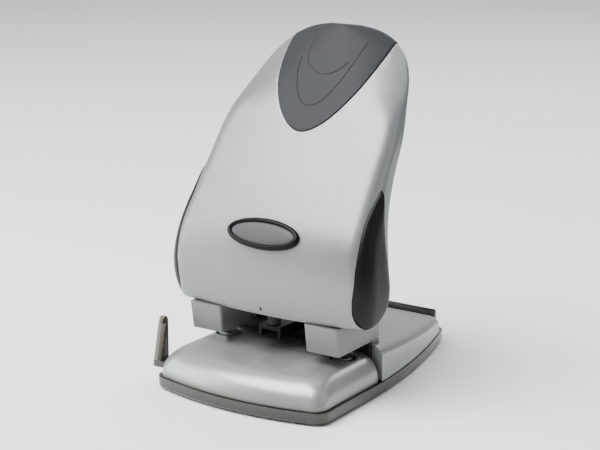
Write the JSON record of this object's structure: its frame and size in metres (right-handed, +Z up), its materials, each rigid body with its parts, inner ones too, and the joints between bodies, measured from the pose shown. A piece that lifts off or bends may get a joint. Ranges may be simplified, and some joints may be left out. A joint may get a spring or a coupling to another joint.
{
  "type": "hole punch",
  "caption": "Heavy-duty desk hole punch with a tall curved handle, twin punch heads, an extending paper guide and a drop-down chip tray.",
  "frame": {"origin": "on the table, midway between the two punch pins", "axes": "+X to the right along the line of the two pins, +Y from the front edge towards the back, +Z up"},
  "size_m": [0.138, 0.1813, 0.2035],
  "materials": {
    "handle_paint": "satin silver-grey with a fine metallic fleck",
    "base_paint": "satin silver",
    "head_paint": "satin grey",
    "grip_rubber": "matt",
    "black_plastic": "satin",
    "back_plastic": "matt",
    "black_gloss": "gloss",
    "badge_grey": "satin",
    "steel": "machined",
    "black_steel": "satin black",
    "brass": "turned",
    "smoked_plastic": "smoked, translucent",
    "rubber": "matt"
  },
  "bodies": {
    "base": {"front_cover": "base_paint", "rear_cover": "base_paint", "chassis_plate": "steel", "back_stop": "black_steel", "lever_stop": "black_steel", "stop_bumper": "rubber", "head_screws": "steel", "cover_screws": "steel", "axle": "steel", "axle_clips": "steel", "axle_spacers": "brass", "punch_head_left": "head_paint", "punch_head_right": "head_paint", "die_left": "steel", "die_right": "steel", "guide_channel": "black_plastic"},
    "handle": {"handle_shell": "handle_paint", "handle_back_cover": "back_plastic", "grip_pad": "grip_rubber", "badge_bezel": "black_gloss", "badge_plate": "badge_grey", "side_insert_left": "black_plastic", "side_insert_right": "black_plastic", "lever_frame": "steel", "lever_rivets": "steel", "plate_screws": "steel", "cam_left": "steel", "cam_right": "steel", "cam_bush_left": "brass", "cam_bush_right": "brass"},
    "pin_left": {"punch_pin_left": "steel", "pin_cap_left": "steel", "return_spring_left": "steel"},
    "pin_right": {"punch_pin_right": "steel", "pin_cap_right": "steel", "return_spring_right": "steel"},
    "guide": {"paper_guide": "smoked_plastic"},
    "tray": {"chip_tray": "smoked_plastic", "rubber_feet": "rubber"}
  },
  "joints": [
    {"name": "handle_hinge", "type": "hinge", "parent": "base", "child": "handle", "pos_m": [0, -0.009, 0.066], "axis": [-1, 0, 0], "range_deg": [0, 60], "stiffness_Nm_per_rad": 0.35, "springref_deg": -68.75},
    {"name": "pin_left_slide", "type": "slide", "parent": "base", "child": "pin_left", "axis": [0, 0, -1], "range_m": [0, 0.0095], "deforming": ["return_spring_left"]},
    {"name": "pin_right_slide", "type": "slide", "parent": "base", "child": "pin_right", "axis": [0, 0, -1], "range_m": [0, 0.0095], "deforming": ["return_spring_right"]},
    {"name": "guide_slide", "type": "slide", "parent": "base", "child": "guide", "axis": [-1, 0, 0], "range_m": [-0.004, 0.085]},
    {"name": "tray_hinge", "type": "hinge", "parent": "base", "child": "tray", "pos_m": [0, -0.0568, 0.0076], "axis": [-1, 0, 0], "range_deg": [0, 30]}
  ],
  "couplings": [
    {"joint": "pin_left_slide", "follows": "handle_hinge", "m_per_rad": 0.009},
    {"joint": "pin_right_slide", "follows": "handle_hinge", "m_per_rad": 0.009}
  ]
}
